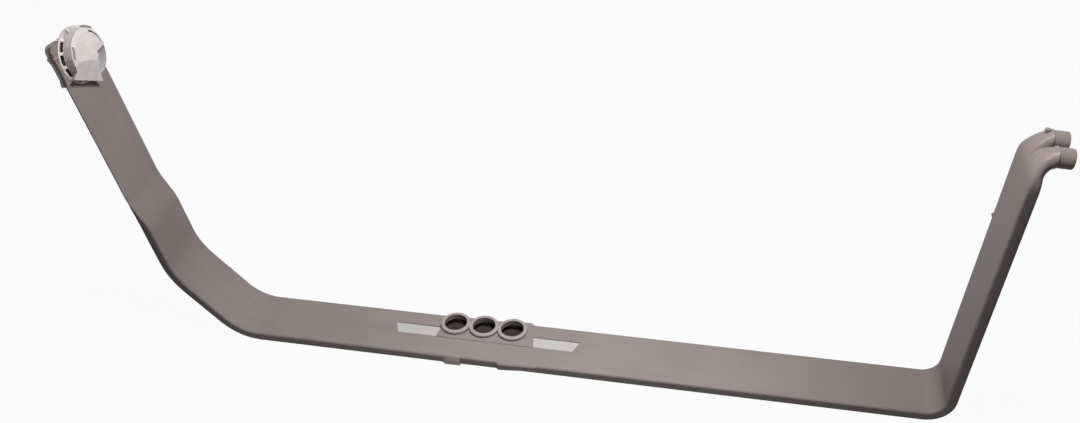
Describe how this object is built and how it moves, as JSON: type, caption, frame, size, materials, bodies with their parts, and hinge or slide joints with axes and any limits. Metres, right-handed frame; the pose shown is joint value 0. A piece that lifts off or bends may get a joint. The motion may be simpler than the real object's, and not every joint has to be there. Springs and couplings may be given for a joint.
{
  "type": "dishwasher water tube",
  "caption": "Flat moulded water duct with a bent spray arm carrying a spinning spray head, a bent supply arm with two hose spigots, and a row of docking ports.",
  "frame": {"origin": "centre of the middle docking port's mouth", "axes": "+X along the back run towards the supply arm, +Z out of the docking ports, away from the back face, +Y across the tube towards its far edge"},
  "size_m": [0.723, 0.0532, 0.2809],
  "materials": {
    "duct_plastic": "satin blow-moulded polypropylene, warm grey",
    "natural_plastic": "natural translucent polypropylene, slightly glossy",
    "pin_steel": "plain stainless pin",
    "rotor_plastic": "pale grey polypropylene, soft gloss"
  },
  "bodies": {
    "tube": {"duct_body": "duct_plastic", "spray_cage": "natural_plastic", "rotor_pin": "pin_steel"},
    "rotor": {"spray_rotor": "rotor_plastic"}
  },
  "joints": [
    {"name": "rotor_spin", "type": "hinge", "parent": "tube", "child": "rotor", "pos_m": [-0.30014, -0.0132, 0.24677], "axis": [0.9829, 0, 0.184], "continuous": true}
  ]
}
